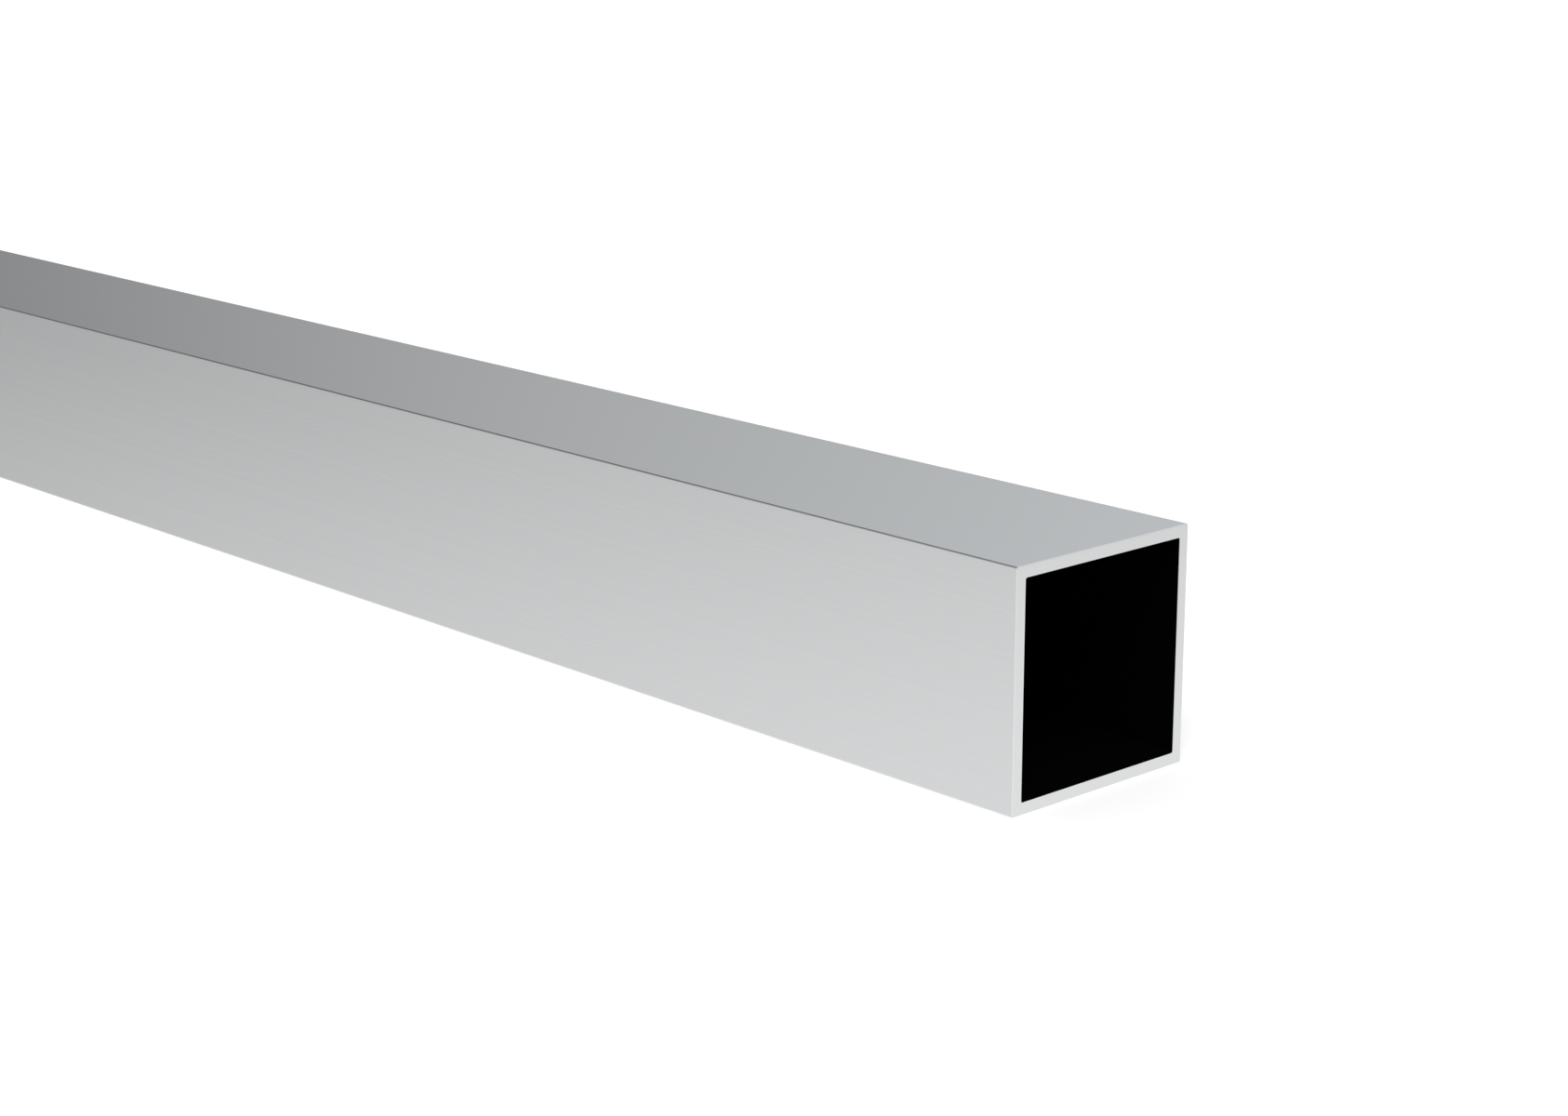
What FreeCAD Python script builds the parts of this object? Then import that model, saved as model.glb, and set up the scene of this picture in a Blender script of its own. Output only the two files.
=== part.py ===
import FreeCAD, Part
import os
from enum import IntEnum
from math import pi

import Sketcher

# A length of square aluminium tube, pressed through a die that leaves its corners nearly sharp,
# sawn square, and with the burr taken off round the outside of both ends. It is one piece of
# metal, and its bore runs right through.
#
# It lies on one of its four faces. +X runs along it, +Z is up, and the origin is the middle of the
# face it lies on. Sizes are in millimetres.

NODE_NAME = "square_tube"

DRIVING_DIMENSIONS = [
    ("tube_length", 1000, "the length it is sold in"),
    ("outer_side", 40, "across the flats, the same both ways"),
    ("wall_thickness", 2, "the same on all four sides"),
    ("outer_corner_radius", 0.25, "along the four outer corners, as the die leaves them"),
    ("bore_corner_radius", 0.35, "along the four corners of the bore, as the die leaves them"),
    ("end_edge_radius", 0.1, "round the outside of each sawn end, where the burr comes off"),
]

TOUCHING = 1e-6


class Point(IntEnum):
    """How a sketch numbers the two ends of a line or arc. Its own origin is a start point too."""

    START = 1
    END = 2


ORIGIN = (-1, Point.START)


def make_size_sheet(doc):
    """The sheet of sizes that the features are bound to."""
    sheet = doc.addObject("Spreadsheet::Sheet", "sizes")
    for row, (alias, size, meaning) in enumerate(DRIVING_DIMENSIONS, start=1):
        sheet.set(f"A{row}", alias)
        sheet.set(f"B{row}", str(size))
        sheet.setAlias(f"B{row}", alias)
        sheet.set(f"C{row}", meaning)
    doc.recompute()
    return sheet


def origin_plane(body, role):
    """The body's own origin plane of that role, such as YZ_Plane."""
    return next(feature for feature in body.Origin.OriginFeatures if feature.Role == role)


def bind(sketch, name, size, *constraint):
    """Adds a constraint under its own name, with its value bound to the sheet."""
    index = sketch.addConstraint(Sketcher.Constraint(*constraint))
    sketch.renameConstraint(index, name)
    sketch.setExpression(f"Constraints.{name}", size)


def draw_rounded_square(sketch, name, middle_height, side, corner_radius):
    """Draws a level square with four equal round corners, and returns its four sides.

    It goes anticlockwise from the bottom side, and each side is followed by the corner at its end.
    """
    half = side / 2
    straight = half - corner_radius

    def point(x, y):
        return FreeCAD.Vector(x, middle_height + y, 0)

    def corner(x, y, quarter):
        circle = Part.Circle(point(x, y), FreeCAD.Vector(0, 0, 1), corner_radius)
        return Part.ArcOfCircle(circle, quarter * pi / 2, (quarter + 1) * pi / 2)

    outline = sketch.addGeometry(
        [
            Part.LineSegment(point(-straight, -half), point(straight, -half)),
            corner(straight, -straight, 3),
            Part.LineSegment(point(half, -straight), point(half, straight)),
            corner(straight, straight, 0),
            Part.LineSegment(point(straight, half), point(-straight, half)),
            corner(-straight, straight, 1),
            Part.LineSegment(point(-half, straight), point(-half, -straight)),
            corner(-straight, -straight, 2),
        ],
        False,
    )
    for piece, following in zip(outline, outline[1:] + outline[:1]):
        sketch.addConstraint(Sketcher.Constraint("Tangent", piece, Point.END, following, Point.START))

    bottom, right, top, left = outline[0::2]
    for level_side in (bottom, top):
        sketch.addConstraint(Sketcher.Constraint("Horizontal", level_side))
    for upright_side in (right, left):
        sketch.addConstraint(Sketcher.Constraint("Vertical", upright_side))

    first_corner, *other_corners = outline[1::2]
    for other_corner in other_corners:
        sketch.addConstraint(Sketcher.Constraint("Equal", first_corner, other_corner))
    bind(sketch, f"{name}_corner", f"sizes.{name}_corner_radius", "Radius", first_corner, corner_radius)
    return bottom, right, top, left


def draw_section(body, sheet):
    """The section of the tube, drawn across its length: the outside, and the bore one wall inside it."""
    sketch = body.newObject("Sketcher::SketchObject", "die_section")
    sketch.AttachmentSupport = (origin_plane(body, "YZ_Plane"), [""])
    sketch.MapMode = "FlatFace"

    side = sheet.outer_side
    wall = sheet.wall_thickness
    bottom, right, top, left = draw_rounded_square(
        sketch, "outer", side / 2, side, sheet.outer_corner_radius)
    sketch.addConstraint(Sketcher.Constraint("Horizontal", *ORIGIN, bottom, Point.START))
    bind(sketch, "half_width", "sizes.outer_side / 2", "DistanceX", *ORIGIN, right, Point.START, side / 2)
    bind(sketch, "width", "sizes.outer_side", "DistanceX", left, Point.START, right, Point.START, side)
    bind(sketch, "height", "sizes.outer_side", "DistanceY", bottom, Point.START, top, Point.START, side)

    bore_bottom, bore_right, bore_top, bore_left = draw_rounded_square(
        sketch, "bore", side / 2, side - 2 * wall, sheet.bore_corner_radius)
    wall_size = "sizes.wall_thickness"
    bind(sketch, "bottom_wall", wall_size, "DistanceY", bottom, Point.START, bore_bottom, Point.START, wall)
    bind(sketch, "right_wall", wall_size, "DistanceX", bore_right, Point.START, right, Point.START, wall)
    bind(sketch, "top_wall", wall_size, "DistanceY", bore_top, Point.START, top, Point.START, wall)
    bind(sketch, "left_wall", wall_size, "DistanceX", left, Point.START, bore_left, Point.START, wall)
    return sketch


def outer_end_edges(shape, half_length):
    """Names of the edges round the outside of the two end faces."""
    end_faces = [face for face in shape.Faces if abs(abs(face.CenterOfMass.x) - half_length) < TOUCHING]
    outer_edges = [edge for face in end_faces for edge in face.OuterWire.Edges]
    return [
        f"Edge{number}"
        for number, edge in enumerate(shape.Edges, start=1)
        if any(edge.isSame(outer_edge) for outer_edge in outer_edges)
    ]


def make_square_tube(doc, sheet):
    """The tube, extruded both ways from the middle of its length, then deburred at both ends."""
    body = doc.addObject("PartDesign::Body", NODE_NAME)
    body.Label = NODE_NAME
    body.Placement = FreeCAD.Placement()
    section = draw_section(body, sheet)

    extrusion = body.newObject("PartDesign::Pad", "extrusion")
    extrusion.Profile = section
    extrusion.SideType = "Symmetric"
    extrusion.setExpression("Length", "sizes.tube_length")
    section.Visibility = False
    doc.recompute()

    deburred_ends = body.newObject("PartDesign::Fillet", "deburred_ends")
    deburred_ends.Base = (extrusion, outer_end_edges(extrusion.Shape, sheet.tube_length / 2))
    deburred_ends.setExpression("Radius", "sizes.end_edge_radius")
    doc.recompute()
    return body


def check_document(doc, body):
    """Stops if a feature failed, or if the tube isn't one sound solid."""
    for feature in doc.Objects:
        if "Invalid" in feature.State or "Error" in feature.State:
            raise RuntimeError(f"{feature.Name} failed: {feature.State}")
    shape = body.Shape
    if shape.isNull() or not shape.isValid() or len(shape.Solids) != 1:
        raise RuntimeError(f"{body.Label} is not one sound solid")


def main():
    doc = FreeCAD.newDocument("square_metal_tube")
    sheet = make_size_sheet(doc)
    tube = make_square_tube(doc, sheet)
    check_document(doc, tube)

    os.makedirs("parts", exist_ok=True)
    tube.Shape.exportStep(os.path.join("parts", f"{tube.Label}.step"))
    box = tube.Shape.optimalBoundingBox()
    print(f"{tube.Label}: {box.XLength:.2f} x {box.YLength:.2f} x {box.ZLength:.2f} mm, "
          f"{tube.Shape.Volume / 1000:.2f} cm3")


main()
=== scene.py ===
from math import pi, radians

import bmesh
import bpy
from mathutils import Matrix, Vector


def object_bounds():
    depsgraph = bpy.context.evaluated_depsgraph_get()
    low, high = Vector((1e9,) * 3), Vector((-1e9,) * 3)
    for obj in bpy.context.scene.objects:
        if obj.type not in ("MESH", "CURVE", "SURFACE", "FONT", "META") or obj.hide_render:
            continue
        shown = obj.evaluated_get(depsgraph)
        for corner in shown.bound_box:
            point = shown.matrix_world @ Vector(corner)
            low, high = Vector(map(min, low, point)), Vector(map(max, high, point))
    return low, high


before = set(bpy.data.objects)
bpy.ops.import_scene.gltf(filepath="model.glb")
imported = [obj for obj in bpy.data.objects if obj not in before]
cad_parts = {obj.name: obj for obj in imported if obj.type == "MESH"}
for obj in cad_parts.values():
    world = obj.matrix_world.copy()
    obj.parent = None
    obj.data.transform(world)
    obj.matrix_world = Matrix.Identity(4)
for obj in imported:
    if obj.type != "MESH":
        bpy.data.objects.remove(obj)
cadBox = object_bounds()
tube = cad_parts["square_tube"]
print("frame loaded, tube is", [round(high - low, 4) for low, high in zip(*cadBox)], "m")


# camera: a 70 mm lens 16 cm over the floor, looking back along the tube from beyond its front end
cameraSetup = {
    "place": (0.8004, -0.3473, 0.1581),
    "turn": 47.08,        # degrees to the left of straight across the tube
    "lookDown": 14.755,
    "lens": 69.84,
    "nearest": 0.01,      # closer than this, it sees nothing
}

cameraData = bpy.data.cameras.new("photoCamera")
cameraData.lens = cameraSetup["lens"]
cameraData.clip_start = cameraSetup["nearest"]
camera = bpy.data.objects.new("photoCamera", cameraData)
camera.location = cameraSetup["place"]
camera.rotation_euler = (radians(90 - cameraSetup["lookDown"]), 0, radians(cameraSetup["turn"]))
bpy.context.scene.collection.objects.link(camera)
bpy.context.scene.camera = camera
print("camera placed")


def addNode(tree, kind, inputs=None, **settings):
    node = tree.nodes.new("ShaderNode" + kind)
    for name, value in settings.items():
        setattr(node, name, value)
    for name, value in (inputs or {}).items():
        if isinstance(value, bpy.types.NodeSocket):
            tree.links.new(value, node.inputs[name])
        else:
            node.inputs[name].default_value = value
    return node


def newMaterial(name):
    material = bpy.data.materials.new(name)
    material.use_nodes = True
    material.node_tree.nodes.clear()
    return material


# the tube's finish: satin as it left the die, sawn ends, and painted shade in the bore, coloured near
# black so that no light shows in it
metal = {
    "skinColour": (0.787, 0.7965, 0.803),
    "endColour": (0.792, 0.802, 0.806),
    "edgeHighlightColour": (0.90, 0.91, 0.915),      # painted highlight: lighter on the rounded edges round the ends, for the light line that they mirror
    # painted shade: the bore is coloured near black, for the shade deep inside the tube
    "boreShadeColour": (0.0012, 0.0012, 0.0012),
    "skinRoughness": 0.212,
    "endRoughness": 0.276,
    "boreRoughness": 0.85,

    "lineWidth": 0.00012,     # fine lines that the die leaves along the tube
    "lineDetail": 2.0,
    "lineDepth": 0.0000008,
    "bandWidth": 0.0025,      # broader, fainter bands among them
    "bandDetail": 3.0,
    "bandShare": 0.08,
    "streakLength": 0.5,
    "streakGrain": 0.6,
    "streakLow": 0.3,         # the noise taken for the darkest line, and for the brightest
    "streakHigh": 0.7,
    "toneChange": 0.055,      # from the darkest line to the brightest
    "roughnessChange": 0.05,

    "sawCentre": (0.0, -0.16, -0.10),     # the blade's axle, seen from the end
    "sawSpacing": 0.00025,
    "sawWander": 3.0,
    "sawDetail": 3.0,
    "sawDetailScale": 0.02,
    "sawToneChange": 0.03,
    "sawDepth": 0.000002,

    "wall": 0.002,
    "mouthReach": 0.00005,    # how near an end the surface counts as the sawn face
    "edgeWidth": 0.0001,      # along the tube, of the rounding round the ends that gets the painted highlight
    "flatReach": 0.000003,    # nearer an end than this, the surface is flat
}


def mixValue(tree, share, first, second):
    return addNode(tree, "Mix", {"Factor": share, 2: first, 3: second}, data_type="FLOAT").outputs[0]


def mixColour(tree, share, first, second):
    node = addNode(tree, "Mix", {"Factor": share}, data_type="RGBA")
    for index, value in ((6, first), (7, second)):
        if isinstance(value, bpy.types.NodeSocket):
            tree.links.new(value, node.inputs[index])
        else:
            node.inputs[index].default_value = (*value, 1)
    return node.outputs[2]


def calculate(tree, operation, first, second=0.0):
    return addNode(tree, "Math", {0: first, 1: second}, operation=operation).outputs[0]


def spread(tree, value, middle, change, lowest=0.0, highest=1.0):
    return addNode(tree, "MapRange", {
        "Value": value, "From Min": lowest, "From Max": highest,
        "To Min": middle - change / 2, "To Max": middle + change / 2,
    }).outputs[0]


def shadeBy(tree, colour, tone):
    return addNode(tree, "VectorMath", {0: colour, "Scale": tone}, operation="SCALE").outputs[0]


def streaks(tree, place, width, detail):
    stretch = (1 / metal["streakLength"], 1 / width, 1 / width)
    mapped = addNode(tree, "Mapping", {"Vector": place, "Scale": stretch}).outputs[0]
    return addNode(tree, "TexNoise", {
        "Vector": mapped, "Scale": 1.0, "Detail": detail, "Roughness": metal["streakGrain"],
    }).outputs[0]


def sawArcs(tree, place):
    fromAxle = addNode(tree, "VectorMath", {0: place, 1: metal["sawCentre"]}, operation="SUBTRACT")
    return addNode(tree, "TexWave", {
        "Vector": fromAxle.outputs[0],
        "Scale": pi / 10 / metal["sawSpacing"],     # a wave of scale 1 repeats every pi / 10
        "Distortion": metal["sawWander"],
        "Detail": metal["sawDetail"], "Detail Scale": metal["sawDetailScale"],
    }, wave_type="RINGS", rings_direction="X").outputs["Fac"]


def buildMetal():
    material = newMaterial("satinAluminium")
    tree = material.node_tree
    low, high = cadBox
    length, side = high.x - low.x, high.z - low.z
    place = addNode(tree, "TexCoord").outputs["Object"]
    split = addNode(tree, "SeparateXYZ", {0: place})

    # where the surface is: on a sawn end, or on the rounded edge beside it
    alongTube = calculate(tree, "ABSOLUTE", split.outputs["X"])
    onEnd = calculate(tree, "GREATER_THAN", alongTube, length / 2 - metal["mouthReach"])
    nearEnd = calculate(tree, "GREATER_THAN", alongTube, length / 2 - metal["edgeWidth"])
    beforeFlat = calculate(tree, "LESS_THAN", alongTube, length / 2 - metal["flatReach"])
    onEdge = calculate(tree, "MULTIPLY", nearEnd, beforeFlat)

    # or in the bore, by its distance from the bore's middle line
    fromMiddleY = calculate(tree, "ABSOLUTE", split.outputs["Y"])
    fromMiddleZ = calculate(tree, "ABSOLUTE", calculate(tree, "SUBTRACT", split.outputs["Z"], side / 2))
    fromMiddle = calculate(tree, "MAXIMUM", fromMiddleY, fromMiddleZ)
    insideWall = calculate(tree, "LESS_THAN", fromMiddle, side / 2 - metal["wall"] / 2)
    inBore = calculate(tree, "MULTIPLY", insideWall, calculate(tree, "SUBTRACT", 1.0, onEnd))

    lines = streaks(tree, place, metal["lineWidth"], metal["lineDetail"])
    bands = streaks(tree, place, metal["bandWidth"], metal["bandDetail"])
    streak = mixValue(tree, metal["bandShare"], lines, bands)
    streakRange = metal["streakLow"], metal["streakHigh"]
    arcs = sawArcs(tree, place)

    skinTone = spread(tree, streak, 1.0, metal["toneChange"], *streakRange)
    endTone = spread(tree, arcs, 1.0, metal["sawToneChange"])
    skinColour = shadeBy(tree, metal["skinColour"], skinTone)
    endColour = shadeBy(tree, metal["endColour"], endTone)
    colour = mixColour(tree, onEnd, skinColour, endColour)
    # painted highlight: the rounded edges round the ends are coloured lighter
    colour = mixColour(tree, onEdge, colour, metal["edgeHighlightColour"])
    # painted shade: the bore coloured near black
    colour = mixColour(tree, inBore, colour, metal["boreShadeColour"])

    skinRoughness = spread(tree, streak, metal["skinRoughness"], metal["roughnessChange"], *streakRange)
    roughness = mixValue(tree, onEnd, skinRoughness, metal["endRoughness"])
    roughness = mixValue(tree, inBore, roughness, metal["boreRoughness"])

    lineHeight = calculate(tree, "MULTIPLY", lines, metal["lineDepth"])
    arcHeight = calculate(tree, "MULTIPLY", arcs, metal["sawDepth"])
    height = mixValue(tree, onEnd, lineHeight, arcHeight)
    bump = addNode(tree, "Bump", {"Height": height, "Strength": 1.0, "Distance": 1.0})

    shader = addNode(tree, "BsdfPrincipled", {
        "Base Color": colour,
        "Metallic": calculate(tree, "SUBTRACT", 1.0, inBore),
        "Roughness": roughness,
        "Specular IOR Level": 0.0,     # no gloss over the bore's painted shade
        "Normal": bump.outputs[0],
    })
    addNode(tree, "OutputMaterial", {"Surface": shader.outputs[0]})
    return material


tube.data.materials.clear()
tube.data.materials.append(buildMetal())
print("tube finished in satin aluminium")


# floor: pale, lit up to white for the camera, with the tube's soft shadow on it
floorSetup = {
    "size": 12.0,
    "below": 0.00002,       # just clear of the face that the tube lies on
    "colour": (0.8, 0.8, 0.8),
    "cameraGlow": 0.28,
}


def buildFloor():
    form = bmesh.new()
    bmesh.ops.create_grid(form, x_segments=1, y_segments=1, size=floorSetup["size"] / 2)
    bmesh.ops.translate(form, verts=form.verts, vec=Vector((0, 0, cadBox[0].z - floorSetup["below"])))
    mesh = bpy.data.meshes.new("floor")
    form.to_mesh(mesh)
    form.free()
    floor = bpy.data.objects.new("floor", mesh)
    bpy.context.scene.collection.objects.link(floor)

    material = newMaterial("paleFloor")
    tree = material.node_tree
    ray = addNode(tree, "LightPath")
    matt = addNode(tree, "BsdfDiffuse", {"Color": (*floorSetup["colour"], 1)})
    glow = addNode(tree, "Emission", {"Strength": floorSetup["cameraGlow"]})
    lit = addNode(tree, "AddShader", {0: matt.outputs[0], 1: glow.outputs[0]})
    above = addNode(tree, "MixShader", {
        0: ray.outputs["Is Camera Ray"], 1: matt.outputs[0], 2: lit.outputs[0],
    })

    # from below it is see-through, so that the face that the tube lies on can be looked at
    facing = addNode(tree, "NewGeometry")
    through = addNode(tree, "BsdfTransparent")
    seen = addNode(tree, "MixShader", {
        0: facing.outputs["Backfacing"], 1: above.outputs[0], 2: through.outputs[0],
    })
    addNode(tree, "OutputMaterial", {"Surface": seen.outputs[0]})
    mesh.materials.append(material)
    floor.visible_glossy = False      # the metal sees the studio's own white below it


buildFloor()
print("floor laid")


# light: one large soft lamp far off over the front end, in a white studio that is dim along its
# horizon, dark up over the far end of the tube, paler low behind that end, and a little dark over
# the front end
studio = {
    "lampTowards": (0.432, -0.378, 0.819),
    "lampWidth": 32,      # degrees
    "lampPower": 2.3,
    "fill": 0.4,          # how bright the studio is for what isn't shiny

    # three parts of it: a larger number in a part's shape makes it narrower that way
    "dark": {
        "towards": (-0.877, -0.041, 0.479),
        "shape": (1.0, 1.163, 1.336),
        # how far from its middle, and how bright there
        "shades": ((0.3, 0.14), (0.55, 0.176), (0.8, 0.558), (1.1, 0.768), (1.6, 0.995)),
    },
    "pale": {
        "towards": (-0.97, 0.12, 0.17),
        "shape": (1.0, 0.55, 1.2),
        "shade": 0.45,
        "start": 0.12,
        "end": 0.34,
    },
    "dim": {
        "towards": (0.62, -0.3, 0.45),
        "shape": (1.0, 0.6, 1.6),
        "shade": 0.42,
        "start": 0.2,
        "end": 1.0,
    },

    "horizonWidth": 0.302,
    "horizonShade": 0.329,
    "skyTint": (0.978, 1.0, 1.020),     # a little blue over the horizon
    "skyStart": -0.2,
    "skyFull": 0.25,
}


def howFar(tree, direction, part):
    offset = addNode(tree, "VectorMath", {0: direction, 1: part["towards"]}, operation="SUBTRACT")
    shaped = addNode(tree, "VectorMath", {0: offset.outputs[0], 1: part["shape"]}, operation="MULTIPLY")
    return addNode(tree, "VectorMath", {0: shaped.outputs[0]}, operation="LENGTH").outputs["Value"]


def darkPart(tree, direction, part):
    darkest, reach = part["shades"][0][1], part["shades"][-1][0]
    distance = howFar(tree, direction, part)
    ramp = addNode(tree, "ValToRGB", {0: calculate(tree, "DIVIDE", distance, reach)})
    stops = ramp.color_ramp.elements
    stops.remove(stops[1])
    stops[0].position = 0.0
    stops[0].color = (darkest, darkest, darkest, 1)
    for far, shade in part["shades"]:
        stops.new(far / reach).color = (shade, shade, shade, 1)
    return ramp.outputs[0]


# a soft-edged part, with its own shade in the middle and another one beyond it
def softPart(tree, direction, part, beyond):
    return addNode(tree, "MapRange", {
        "Value": howFar(tree, direction, part),
        "From Min": part["start"], "From Max": part["end"],
        "To Min": part["shade"], "To Max": beyond,
    }, interpolation_type="SMOOTHSTEP").outputs[0]


def buildWorld():
    world = bpy.data.worlds.new("studio")
    world.use_nodes = True
    tree = world.node_tree
    tree.nodes.clear()
    ray = addNode(tree, "LightPath")
    direction = addNode(tree, "TexCoord").outputs["Generated"]
    height = addNode(tree, "SeparateXYZ", {0: direction}).outputs["Z"]

    # the dark part, the dim one over the front end, and the dim horizon all round
    horizon = addNode(tree, "MapRange", {
        "Value": calculate(tree, "ABSOLUTE", height),
        "From Min": 0.0, "From Max": studio["horizonWidth"],
        "To Min": studio["horizonShade"], "To Max": 1.0,
    }).outputs[0]
    dark = darkPart(tree, direction, studio["dark"])
    dim = softPart(tree, direction, studio["dim"], 1.0)
    shade = calculate(tree, "MULTIPLY", calculate(tree, "MULTIPLY", dark, dim), horizon)

    # the pale part low behind the far end, so that the tube isn't dark when seen from its front end
    pale = softPart(tree, direction, studio["pale"], 0.0)
    shade = calculate(tree, "MAXIMUM", shade, pale)

    sky = addNode(tree, "MapRange", {
        "Value": height, "From Min": studio["skyStart"], "From Max": studio["skyFull"],
    }).outputs[0]
    mirrored = shadeBy(tree, mixColour(tree, sky, (1, 1, 1), studio["skyTint"]), shade)

    # shiny things mirror the studio, matt ones get its even light, and the camera sees plain white
    glossy = calculate(tree, "MAXIMUM", ray.outputs["Is Glossy Ray"], ray.outputs["Is Transmission Ray"])
    shown = mixColour(tree, glossy, (studio["fill"],) * 3, mirrored)
    shown = mixColour(tree, ray.outputs["Is Camera Ray"], shown, (1, 1, 1))
    backdrop = addNode(tree, "Background", {"Color": shown, "Strength": 1.0})
    addNode(tree, "OutputWorld", {"Surface": backdrop.outputs[0]})
    bpy.context.scene.world = world


def buildLamp():
    lampData = bpy.data.lights.new("softLamp", "SUN")
    lampData.energy = studio["lampPower"]
    lampData.angle = radians(studio["lampWidth"])
    lamp = bpy.data.objects.new("softLamp", lampData)
    lamp.rotation_euler = Vector(studio["lampTowards"]).to_track_quat("Z", "Y").to_euler()
    lamp.visible_glossy = False      # its mirror image would burn out a face of the metal
    bpy.context.scene.collection.objects.link(lamp)


buildWorld()
buildLamp()
bpy.context.scene.view_settings.view_transform = "Standard"
print("lamp and studio set")
